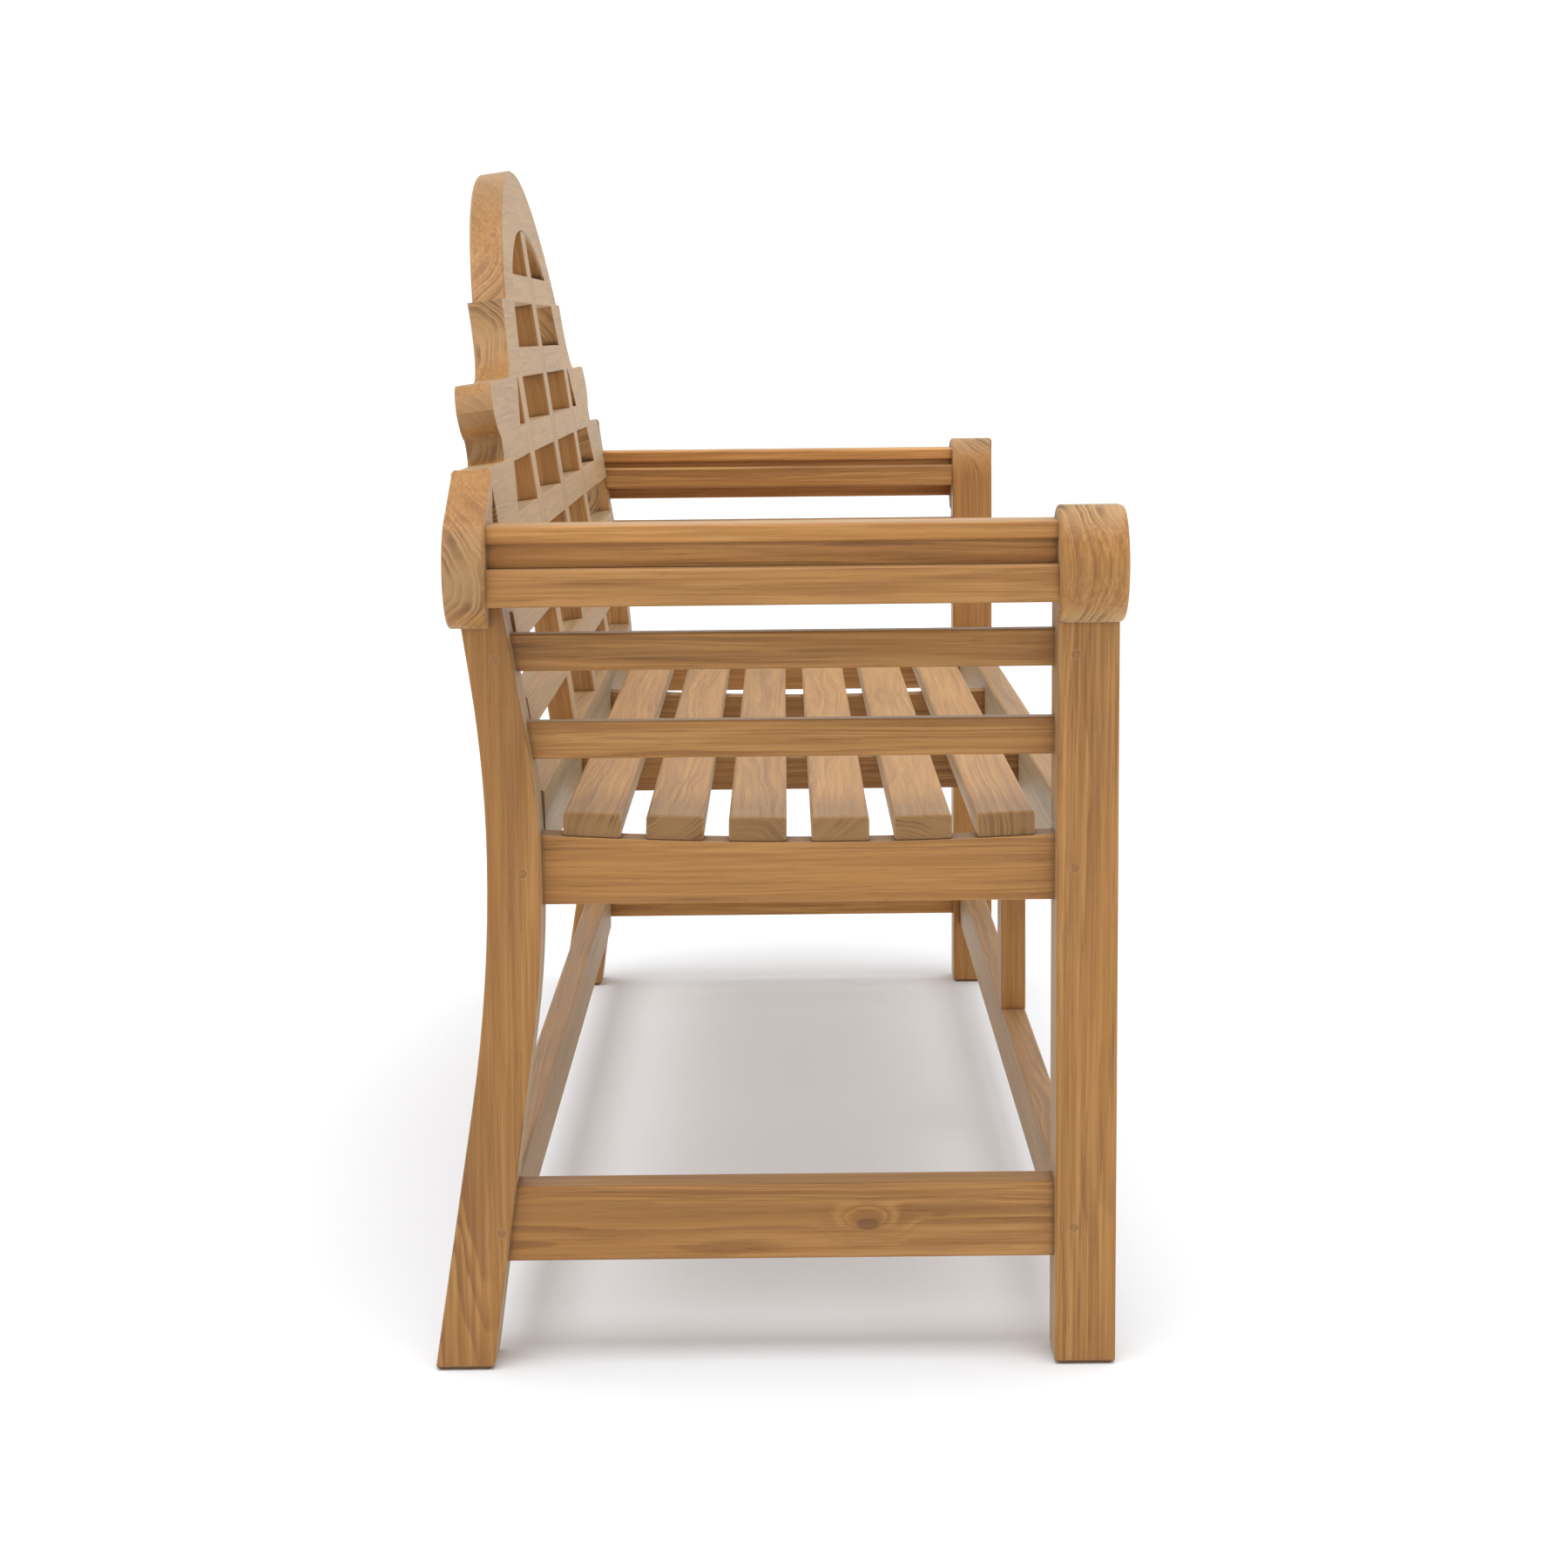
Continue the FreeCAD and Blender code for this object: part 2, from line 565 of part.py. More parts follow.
def back_upright(x, top):
    """Vertical slat, halved behind each rail it crosses, from the seat rail to the frame."""
    foot = REAR_RAIL_Z[1] / math.cos(LEAN)
    half = LATTICE_THICKNESS / 2
    slat = lattice_bar(about(x, UPRIGHT_WIDTH), (foot - 8.0, top + 5.0), Z_AXIS)
    slat = slat.cut(box((-900, 900), (-400, 400), (REAR_RAIL_Z[1] - 60.0, REAR_RAIL_Z[1])))
    if top == ARCH_TOP:
        slat = slat.cut(lean(arch_mask()))
    else:
        slat = slat.cut(lean(box(about(x, 200.0), (-100.0, 100.0), (top, top + 50.0))))
    tenon = lattice_tenon(about(x, UPRIGHT_WIDTH - 16.0), (foot - STUB_TENON, top + STUB_TENON))
    slat = fused([slat, tenon])
    for index in range(RAIL_COUNT):
        s = rail_bottom(index)
        if s < top - 1.0:
            slot = box(about(x, UPRIGHT_WIDTH + 2.0), (half, LATTICE_THICKNESS + 1.0),
                       (s, s + RAIL_HEIGHT))
            slat = slat.cut(lean(slot))
    return slat


# ---- draw pegs and hidden dowels -------------------------------------------------------------
def draw_pegs():
    """Pegs driven in from the outer face of the left legs, one through each side tenon."""
    rail_z = (SIDE_RAIL_BOTTOM_Z + SEAT_LOW_Z) / 2
    heights = (middle(SIDE_STRETCHER_Z) - 5.0, rail_z + 4.0, middle(UPPER_SIDE_SLAT[2:4]) - 4.0)
    rear_places = (231.0, 206.0, 225.0)
    pegs = []
    for z, rear_y in zip(heights, rear_places):
        for y in (-258.0, rear_y):
            pegs.append(dowel(Vector(LEG_OUTER_X, y, z), Vector(-1, 0, 0), 42.0))
    return pegs


def board_dowels():
    """Hidden dowels across the glue joints of the back's boards, for one end."""
    depth = BOARD_THICKNESS / 2
    spots = ((280.0, CROWN_FOOT), (352.0, HAUNCH_FOOT), (376.0, HAUNCH_FOOT), (545.0, EAR_FOOT))
    pins = [lean(dowel(flat(x, s - 18.0) + Vector(0, depth, 0), Z_AXIS, 36.0)) for x, s in spots]
    for z in (715.0, 745.0):
        pins.append(dowel(Vector(LEG_INNER_X - 16.0, 244.0, z), X_AXIS, 32.0))
    return pins


def cheek_dowels():
    """Hidden dowels between the leg's head and the outer half of the arm roll."""
    pins = []
    for y in (-282.0, -268.0):
        pins.append(dowel(Vector(LEG_OUTER_X - 18.0, y, ROLL_Z - 2.0), X_AXIS, 40.0))
    return pins


# ---- assembly --------------------------------------------------------------------------------
def cut_all(shape, tools):
    """Cut the seats of joining pieces out of a piece."""
    for tool in tools:
        if shape.BoundBox.intersect(tool.BoundBox):
            shape = shape.cut(tool)
    return shape


def one_end():
    """The pieces of one end of the bench, at +X, before the long members are let in."""
    legs = (front_leg(), rear_leg())
    side_stretcher = SIDE_STRETCHER_X + SIDE_STRETCHER_Z
    return {
        "front_leg": legs[0],
        "rear_leg": legs[1],
        "arm_roll_cheek": roll_cheek(),
        "scroll_board": scroll_board(),
        "seat_side_rail": seat_side_rail(legs),
        "side_stretcher": side_member(side_stretcher, legs, STRETCHER_REAR_Y),
        "arm_upper_slat": side_member(UPPER_SIDE_SLAT, legs, SIDE_SLAT_REAR_Y),
        "arm_lower_slat": side_member(LOWER_SIDE_SLAT, legs, SIDE_SLAT_REAR_Y),
        "arm_top_batten": arm_top_batten(),
        "arm_outer_batten": arm_batten(OUTER_BATTEN),
        "arm_inner_batten": arm_batten(INNER_BATTEN),
        "haunch_board": haunch_board(),
        "ear_board": ear_board(),
        "shoulder_board": shoulder_board(),
    }


def bench():
    """Every node of the bench, by name."""
    ends = {"right": one_end()}
    ends["left"] = {name: mirrored(piece) for name, piece in ends["right"].items()}
    nodes = {}
    for side, pieces in ends.items():
        for name, piece in pieces.items():
            nodes[name + "_" + side] = piece

    nodes["front_seat_rail"] = long_rail(FRONT_RAIL_Y, FRONT_RAIL_Z)
    nodes["rear_seat_rail"] = long_rail(REAR_RAIL_Y, REAR_RAIL_Z)
    nodes["front_stretcher"] = long_rail(FRONT_RAIL_Y, LONG_STRETCHER_Z)
    nodes["rear_stretcher"] = long_rail(REAR_STRETCHER_Y, LONG_STRETCHER_Z)
    nodes["centre_post"] = centre_post()
    nodes["crown_board"] = crown_board()
    for name, x in zip(("left", "right"), BEARER_X):
        nodes["seat_bearer_" + name] = bearer(x)
    for index in range(SLAT_COUNT):
        nodes["seat_slat_%d" % (index + 1)] = seat_slat(index)

    frame_names = ["crown_board"]
    for name in ("haunch_board", "ear_board", "shoulder_board"):
        frame_names += [name + "_left", name + "_right"]
    upright_plan = ((-UPRIGHT_X, HAUNCH_FOOT), (0.0, ARCH_TOP), (UPRIGHT_X, HAUNCH_FOOT))
    rails = back_rails([nodes[name] for name in frame_names], upright_plan)
    for index, rail in enumerate(rails):
        nodes["back_rail_%d" % (index + 1)] = rail
    for name, (x, top) in zip(("left", "centre", "right"), upright_plan):
        nodes["back_upright_" + name] = back_upright(x, top)
    return nodes


def let_in(nodes):
    """Cut every mortise, housing and dowel hole."""
    def pick(*names):
        return [nodes[name] for name in names]

    rails = ["back_rail_%d" % (index + 1) for index in range(RAIL_COUNT)]
    uprights = ["back_upright_" + name for name in ("left", "centre", "right")]
    pegs, dowels, cheeks = draw_pegs(), board_dowels(), cheek_dowels()
    pegs += [mirrored(pin) for pin in pegs]
    dowels += [mirrored(pin) for pin in dowels]
    cheeks += [mirrored(pin) for pin in cheeks]
    pins, screws = slat_dowels(), slat_screws()

    for side in ("left", "right"):
        battens = ["arm_%s_%s" % (name, side) for name in ("top_batten", "outer_batten", "inner_batten")]
        members = ["arm_upper_slat", "arm_lower_slat", "seat_side_rail", "side_stretcher"]
        members = ["%s_%s" % (name, side) for name in members]
        long_front = pick("front_seat_rail", "front_stretcher")
        long_rear = pick("rear_seat_rail", "rear_stretcher")
        front, rear, cheek, scroll = ("%s_%s" % (name, side) for name in (
            "front_leg", "rear_leg", "arm_roll_cheek", "scroll_board"))
        nodes[scroll] = cut_all(nodes[scroll], pick("shoulder_board_" + side))
        nodes[front] = cut_all(nodes[front], pick(*members, *battens) + long_front + pegs + cheeks)
        nodes[rear] = cut_all(nodes[rear], pick(scroll, *members, *battens, *rails) + long_rear + pegs)
        nodes[cheek] = cut_all(nodes[cheek], pick(*battens) + cheeks)
        nodes[scroll] = cut_all(nodes[scroll], pick(*battens) + dowels)
        for name in members:
            nodes[name] = cut_all(nodes[name], pegs + pins)
        for name in ("haunch_board_", "ear_board_", "shoulder_board_"):
            nodes[name + side] = cut_all(nodes[name + side], pick(*rails, *uprights) + dowels)

    nodes["crown_board"] = cut_all(nodes["crown_board"], pick(*rails, *uprights) + dowels)
    bearers = ["seat_bearer_left", "seat_bearer_right"]
    nodes["rear_seat_rail"] = cut_all(nodes["rear_seat_rail"], pick(*uprights, *bearers))
    nodes["front_seat_rail"] = cut_all(nodes["front_seat_rail"], pick("centre_post", *bearers))
    nodes["front_stretcher"] = cut_all(nodes["front_stretcher"], pick("centre_post"))
    for name in bearers:
        nodes[name] = cut_all(nodes[name], screws)
    for index in range(SLAT_COUNT):
        name = "seat_slat_%d" % (index + 1)
        nodes[name] = cut_all(nodes[name], pins + screws)

    nodes["draw_pegs"] = group(pegs)
    nodes["board_dowels"] = group(dowels + cheeks)
    nodes["slat_dowels"] = group(pins)
    nodes["slat_screws"] = group(screws)


def centred(nodes):
    """Move the whole bench so that the origin is under the middle of its box."""
    whole = group(list(nodes.values())).BoundBox
    for shape in nodes.values():
        shape.translate(Vector(0, -(whole.YMin + whole.YMax) / 2, 0))
    print("centred by %.3f mm" % (-(whole.YMin + whole.YMax) / 2))


def main():
    """Build the bench and write one STEP file for each node."""
    nodes = bench()
    let_in(nodes)
    centred(nodes)
    os.makedirs("parts", exist_ok=True)
    for name, shape in nodes.items():
        shape.exportStep("parts/%s.step" % name)
        print("%-24s %2d solids %10.0f mm3 valid %s" % (
            name, len(shape.Solids), shape.Volume, shape.isValid()))


main()
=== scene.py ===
"""Looks of a solid teak garden bench: sawn and planed timber, soft studio light, pale floor.

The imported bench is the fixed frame. Every board keeps its own shape and gets timber of its own:
the growth rings run round a pith line beside the board, so the long faces show flames and
stripes, the ends show ring arcs, and no two boards match.
"""

import logging
import math
import random
from dataclasses import dataclass, field
from enum import Enum

import bpy
from mathutils import Euler, Matrix, Vector


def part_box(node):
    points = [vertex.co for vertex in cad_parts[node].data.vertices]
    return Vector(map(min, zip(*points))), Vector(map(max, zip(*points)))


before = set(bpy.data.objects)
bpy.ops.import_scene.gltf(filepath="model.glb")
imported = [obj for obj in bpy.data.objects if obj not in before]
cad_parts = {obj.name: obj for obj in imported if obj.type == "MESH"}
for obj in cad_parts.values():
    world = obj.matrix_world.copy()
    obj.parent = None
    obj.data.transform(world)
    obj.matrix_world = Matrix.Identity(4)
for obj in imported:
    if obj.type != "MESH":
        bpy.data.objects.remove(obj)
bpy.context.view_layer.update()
LOG = logging.getLogger("bench")


class GrainAxis(Enum):
    """The way the fibres of a board run."""

    ALONG = "x"
    ACROSS = "y"
    UPRIGHT = "z"
    RAKED = "raked"


class Side(Enum):
    """The two ends of the bench, as seen from the front."""

    LEFT = "left"
    RIGHT = "right"


class Sawing(Enum):
    """How a board was cut from the log, by the distance and the side of the pith."""

    QUARTER = "quarter"
    RIFT = "rift"
    FLAT = "flat"


@dataclass(frozen=True)
class Knot:
    """A small sound knot in one board.

    place is its centre in metres, reach its half-length along and across the grain.
    """

    place: tuple[float, float, float]
    reach: tuple[float, float]


@dataclass(frozen=True)
class TeakTones:
    """The colours of one batch of teak, as linear RGB."""

    pale: tuple[float, float, float] = (0.445, 0.224, 0.070)
    middle: tuple[float, float, float] = (0.310, 0.138, 0.034)
    golden: tuple[float, float, float] = (0.368, 0.165, 0.038)
    late: tuple[float, float, float] = (0.175, 0.070, 0.019)
    streak: tuple[float, float, float] = (0.085, 0.032, 0.010)
    end_clean: tuple[float, float, float] = (0.500, 0.290, 0.128)
    end_stained: tuple[float, float, float] = (0.195, 0.104, 0.036)
    end_line: tuple[float, float, float] = (0.120, 0.052, 0.018)
    knot: tuple[float, float, float] = (0.120, 0.048, 0.016)
    # painted highlight, laid along the arrises
    arris_highlight_tone: tuple[float, float, float] = (0.560, 0.350, 0.165)
    # painted shade, laid into the corners where pieces meet
    corner_shade: tuple[float, float, float] = (0.120, 0.050, 0.016)


class NodeBench:
    """A small helper that lays out and joins shader nodes in one tree."""

    def __init__(self, tree: bpy.types.NodeTree) -> None:
        """Take hold of a node tree.

        Args:
            tree: the tree that the nodes are added to.
        """
        self.tree = tree

    def add(self, kind: str, **settings: object) -> bpy.types.Node:
        """Add a node.

        Args:
            kind: the node's type name.
            settings: properties to set on it.

        Returns:
            The new node.
        """
        node = self.tree.nodes.new(kind)
        for name, value in settings.items():
            setattr(node, name, value)
        return node

    def feed(self, socket: bpy.types.NodeSocket, value: object) -> None:
        """Join an output to a socket, or set the socket's own value.

        Args:
            socket: the input that is fed.
            value: an output socket, or a plain value.
        """
        if isinstance(value, bpy.types.NodeSocket):
            self.tree.links.new(value, socket)
        else:
            socket.default_value = value

    def math(self, operation: str, *values: object) -> bpy.types.NodeSocket:
        """Join up to three values by a Math node.

        Args:
            operation: the node's operation.
            values: sockets or plain numbers, in the order of the node's inputs.

        Returns:
            The node's output.
        """
        node = self.add("ShaderNodeMath", operation=operation)
        for socket, value in zip(node.inputs, values):
            self.feed(socket, value)
        return node.outputs[0]

    def vector(self, operation: str, *values: object) -> bpy.types.Node:
        """Join vectors by a Vector Math node.

        Args:
            operation: the node's operation.
            values: sockets or plain triples, in the order of the node's inputs.

        Returns:
            The node, whose outputs are a vector and a value.
        """
        node = self.add("ShaderNodeVectorMath", operation=operation)
        for socket, value in zip(node.inputs, values):
            self.feed(socket, value)
        return node

    def noise(self, source: bpy.types.NodeSocket, scale: tuple[float, float, float],
              detail: float = 2.0, roughness: float = 0.5) -> bpy.types.NodeSocket:
        """Noise over a stretched coordinate.

        Args:
            source: the coordinate.
            scale: cycles per metre along each axis.
            detail: octaves of finer noise.
            roughness: the strength of those octaves.

        Returns:
            The noise value, from 0 to 1.
        """
        node = self.add("ShaderNodeTexNoise", noise_dimensions="3D")
        self.feed(node.inputs["Vector"], self.vector("MULTIPLY", source, scale).outputs[0])
        node.inputs["Scale"].default_value = 1.0
        node.inputs["Detail"].default_value = detail
        node.inputs["Roughness"].default_value = roughness
        return node.outputs[0]

    def ramp(self, value: object, low: float, high: float) -> bpy.types.NodeSocket:
        """Rise smoothly from 0 at low to 1 at high, or fall from 1 to 0 where low is the larger.

        Args:
            value: what is measured.
            low: where the result is 0.
            high: where the result is 1.

        Returns:
            The result, held at 0 and 1 past its ends.
        """
        node = self.add("ShaderNodeMapRange", interpolation_type="SMOOTHSTEP")
        self.feed(node.inputs["Value"], value)
        flipped = low > high
        node.inputs["From Min"].default_value = min(low, high)
        node.inputs["From Max"].default_value = max(low, high)
        node.inputs["To Min"].default_value = 1.0 if flipped else 0.0
        node.inputs["To Max"].default_value = 0.0 if flipped else 1.0
        return node.outputs["Result"]

    def blend(self, factor: object, under: object, over: object) -> bpy.types.NodeSocket:
        """Lay one colour over another.

        Args:
            factor: how much of the upper colour shows, from 0 to 1.
            under: the lower colour, a socket or a plain RGB tuple.
            over: the upper colour.

        Returns:
            The mixed colour.
        """
        node = self.add("ShaderNodeMix", data_type="RGBA")
        self.feed(node.inputs[0], factor)
        self.feed(node.inputs[6], self.opaque(under))
        self.feed(node.inputs[7], self.opaque(over))
        return node.outputs[2]

    @staticmethod
    def opaque(colour: object) -> object:
        """Give a plain RGB tuple its alpha; leave a socket as it is.

        Args:
            colour: a socket or an RGB tuple.

        Returns:
            The socket, or the colour with its alpha.
        """
        if isinstance(colour, tuple) and len(colour) == 3:
            return (*colour, 1.0)
        return colour


class TeakGrain:
    """The node group that every teak board shares: rings, pores, streaks, knots, a painted highlight on
    the arrises and painted shade in the corners.

    Inside it the coordinate runs along the fibres on X, with the pith line on the X axis.
    """

    RING_PITCH = 0.0058          # metres from one growth ring to the next
    WANDER = 9.0                 # rings that the slow drift of the grain moves the pattern
    RIPPLE = 1.3                 # rings that its quick waver moves it
    UNEVENNESS = 4.4             # rings that wide and narrow years move it
    KNOT_PUSH = 2.4              # rings that a knot pushes aside
    # Cycles per metre along the fibres and across them.
    WANDER_SCALE = (1.3, 8.0, 8.0)
    RIPPLE_SCALE = (7.0, 44.0, 44.0)
    FAINT_PATCHES = (2.6, 26.0, 26.0)
    PORES = (42.0, 780.0, 780.0)
    FIBRES = (6.0, 270.0, 270.0)
    HAIRS = (6.5, 560.0, 560.0)
    STREAKS = (4.2, 170.0, 170.0)
    BLOTCHES = (2.6, 17.0, 17.0)
    FLECKS = (240.0, 900.0, 900.0)
    # Where each layer's measure is clear of it, and where it is in full.
    KNOT_BEND = (4.2, 0.6)
    LATE_RISE = (0.10, 0.84)
    LATE_FALL = (1.0, 0.88)
    PATCH_SHOW = (0.36, 0.66)
    HAIR_SHOW = (0.56, 0.74)
    PORE_SHOW = (0.60, 0.74)
    STREAK_SHOW = (0.585, 0.73)
    BLOTCH_SHOW = (0.32, 0.70)
    FIBRE_SHOW = (0.34, 0.66)
    FLECK_SHOW = (0.56, 0.70)
    KNOT_RIM = (2.1, 0.9)
    KNOT_CORE = (1.0, 0.66)
    YEAR_PACE = 0.41             # how fast the width of the years changes from ring to ring
    # How strongly each layer shows over the colour below it.
    GOLD_DEPTH = 0.65
    FIGURE_DEPTH = 0.85
    HAIR_DEPTH = 0.40
    STREAK_DEPTH = 0.50
    PORE_DEPTH = 0.45
    END_LINE_DEPTH = 0.80
    FLECK_DEPTH = 0.22
    KNOT_RIM_DEPTH = 0.30
    KNOT_CORE_DEPTH = 0.62
    # painted highlight on the arrises
    ARRIS_HIGHLIGHT_DEPTH = 0.34
    # painted shade in the corners
    CORNER_SHADE_DEPTH = 0.78

    def __init__(self, tones: TeakTones) -> None:
        """Build the group once from a batch's tones.

        Args:
            tones: the colours of the timber.
        """
        self.tones = tones
        self.group = bpy.data.node_groups.new("teak_grain", "ShaderNodeTree")
        self.declare()
        self.kit = NodeBench(self.group)
        self.given = self.kit.add("NodeGroupInput").outputs
        self.finish()

    def declare(self) -> None:
        """Name what goes into the group and what comes out of it."""
        face = self.group.interface
        for name, kind in (("Fibre", "NodeSocketVector"), ("Knot", "NodeSocketVector"),
                           ("End", "NodeSocketFloat"), ("EdgeHighlight", "NodeSocketFloat"),
                           ("Figure", "NodeSocketFloat"), ("Tone", "NodeSocketFloat"),
                           ("Streaks", "NodeSocketFloat"), ("EndTone", "NodeSocketFloat"),
                           ("CornerShade", "NodeSocketFloat")):
            face.new_socket(name, in_out="INPUT", socket_type=kind)
        for name, kind in (("Color", "NodeSocketColor"), ("Roughness", "NodeSocketFloat"),
                           ("Height", "NodeSocketFloat")):
            face.new_socket(name, in_out="OUTPUT", socket_type=kind)

    def latewood(self, knot_reach: bpy.types.NodeSocket) -> bpy.types.NodeSocket:
        """The dark line of each growth ring.

        Args:
            knot_reach: the distance from the knot, which the rings bend round.

        Returns:
            0 in the pale wood of a ring, rising to 1 in its dense late line.
        """
        kit, fibre = self.kit, self.given["Fibre"]
        wander = kit.math("SUBTRACT", kit.noise(fibre, self.WANDER_SCALE, 2.0, 0.45), 0.5)
        ripple = kit.math("SUBTRACT", kit.noise(fibre, self.RIPPLE_SCALE, 2.0, 0.5), 0.5)
        across = kit.vector("MULTIPLY", fibre, (0.0, 1.0, 1.0)).outputs[0]
        radius = kit.vector("LENGTH", across).outputs["Value"]
        rings = kit.math("DIVIDE", radius, self.RING_PITCH)
        rings = kit.math("MULTIPLY_ADD", wander, self.WANDER, rings)
        rings = kit.math("MULTIPLY_ADD", ripple, self.RIPPLE, rings)
        rings = kit.math("MULTIPLY_ADD", kit.ramp(knot_reach, *self.KNOT_BEND), self.KNOT_PUSH, rings)
        years = kit.add("ShaderNodeTexNoise", noise_dimensions="1D")
        kit.feed(years.inputs["W"], kit.math("MULTIPLY", rings, self.YEAR_PACE))
        years.inputs["Scale"].default_value = 1.0
        years.inputs["Detail"].default_value = 1.5
        rings = kit.math("MULTIPLY_ADD", years.outputs[0], self.UNEVENNESS, rings)
        phase = kit.math("FRACT", rings)
        line = kit.math("MULTIPLY", kit.ramp(phase, *self.LATE_RISE), kit.ramp(phase, *self.LATE_FALL))
        strength = kit.ramp(kit.noise(fibre, self.FAINT_PATCHES, 2.0), *self.PATCH_SHOW)
        return kit.math("MULTIPLY", line, kit.math("MULTIPLY_ADD", strength, 0.85, 0.15))

    def finish(self) -> None:
        """Measure the layers, then join colour, roughness and relief to the group's outputs."""
        kit, given = self.kit, self.given
        fibre = given["Fibre"]
        knot_reach = kit.vector("LENGTH", given["Knot"]).outputs["Value"]
        latewood = self.latewood(knot_reach)
        fibres = kit.noise(fibre, self.FIBRES, 3.0, 0.62)
        hairs = kit.ramp(kit.noise(fibre, self.HAIRS, 2.0, 0.6), *self.HAIR_SHOW)
        pores = kit.ramp(kit.noise(fibre, self.PORES, 2.0, 0.6), *self.PORE_SHOW)
        pores = kit.math("MULTIPLY", pores, kit.math("MULTIPLY_ADD", latewood, 0.6, 0.4))

        colour = self.long_grain(latewood, fibres, hairs, pores)
        colour = kit.blend(given["End"], colour, self.sawn_end(latewood))
        colour = self.knot_and_painted_light(colour, knot_reach)

        rough = kit.math("MULTIPLY_ADD", fibres, 0.16, 0.40)
        rough = kit.math("MULTIPLY_ADD", pores, 0.14, rough)
        rough = kit.math("MULTIPLY_ADD", given["End"], 0.16, rough)
        relief = kit.math("MULTIPLY", fibres, 0.55)
        relief = kit.math("MULTIPLY_ADD", pores, -0.85, relief)
        relief = kit.math("MULTIPLY_ADD", hairs, -0.35, relief)
        relief = kit.math("MULTIPLY_ADD", latewood, 0.22, relief)
        relief = kit.math("MULTIPLY", relief, kit.math("MULTIPLY_ADD", given["End"], -0.6, 1.0))

        out = kit.add("NodeGroupOutput").inputs
        kit.feed(out["Color"], colour)
        kit.feed(out["Roughness"], rough)
        kit.feed(out["Height"], relief)

    def long_grain(self, latewood: bpy.types.NodeSocket, fibres: bpy.types.NodeSocket,
                   hairs: bpy.types.NodeSocket, pores: bpy.types.NodeSocket
                   ) -> bpy.types.NodeSocket:
        """The colour of a face that is cut along the fibres.

        Args:
            latewood: the dark line of each ring.
            fibres: the soft bundles of fibres.
            hairs: thin broken lines.
            pores: open pores.

        Returns:
            The colour.
        """
        kit, given, tones = self.kit, self.given, self.tones
        figure = kit.math("MULTIPLY", latewood, given["Figure"])
        streak = kit.ramp(kit.noise(given["Fibre"], self.STREAKS, 3.0, 0.66), *self.STREAK_SHOW)
        streak = kit.math("MULTIPLY", streak, given["Streaks"])
        blotch = kit.ramp(kit.noise(given["Fibre"], self.BLOTCHES, 3.0, 0.55), *self.BLOTCH_SHOW)
        colour = kit.blend(kit.ramp(fibres, *self.FIBRE_SHOW), tones.middle, tones.pale)
        for layer, depth, tone in ((blotch, self.GOLD_DEPTH, tones.golden),
                                   (figure, self.FIGURE_DEPTH, tones.late),
                                   (hairs, self.HAIR_DEPTH, tones.late),
                                   (streak, self.STREAK_DEPTH, tones.streak),
                                   (pores, self.PORE_DEPTH, tones.streak)):
            colour = kit.blend(kit.math("MULTIPLY", layer, depth), colour, tone)
        return colour

    def sawn_end(self, latewood: bpy.types.NodeSocket) -> bpy.types.NodeSocket:
        """The colour of a face that is cut across the fibres, with its ring arcs.

        Args:
            latewood: the dark line of each ring.

        Returns:
            The colour.
        """
        kit, given, tones = self.kit, self.given, self.tones
        fleck = kit.ramp(kit.noise(given["Fibre"], self.FLECKS, 2.0, 0.6), *self.FLECK_SHOW)
        colour = kit.blend(given["EndTone"], tones.end_clean, tones.end_stained)
        colour = kit.blend(kit.math("MULTIPLY", latewood, self.END_LINE_DEPTH), colour, tones.end_line)
        return kit.blend(kit.math("MULTIPLY", fleck, self.FLECK_DEPTH), colour, tones.streak)

    def knot_and_painted_light(self, colour: bpy.types.NodeSocket, knot_reach: bpy.types.NodeSocket
             ) -> bpy.types.NodeSocket:
        """Add the knot, the painted highlight on the arrises and the painted shade in the corners, and
        set the board's own tone.

        Args:
            colour: the colour of the clean wood.
            knot_reach: the distance from the knot, one at its rim.

        Returns:
            The colour.
        """
        kit, given, tones = self.kit, self.given, self.tones
        rim = kit.ramp(knot_reach, *self.KNOT_RIM)
        core = kit.ramp(knot_reach, *self.KNOT_CORE)
        # The arris layer is a painted highlight and the corner layer is painted shade.
        for layer, depth, tone in ((rim, self.KNOT_RIM_DEPTH, tones.late),
                                   (core, self.KNOT_CORE_DEPTH, tones.knot),
                                   (given["EdgeHighlight"], self.ARRIS_HIGHLIGHT_DEPTH, tones.arris_highlight_tone),
                                   (given["CornerShade"], self.CORNER_SHADE_DEPTH, tones.corner_shade)):
            colour = kit.blend(kit.math("MULTIPLY", layer, depth), colour, tone)
        shade = kit.add("ShaderNodeHueSaturation")
        kit.feed(shade.inputs["Color"], colour)
        kit.feed(shade.inputs["Value"], given["Tone"])
        return shade.outputs[0]


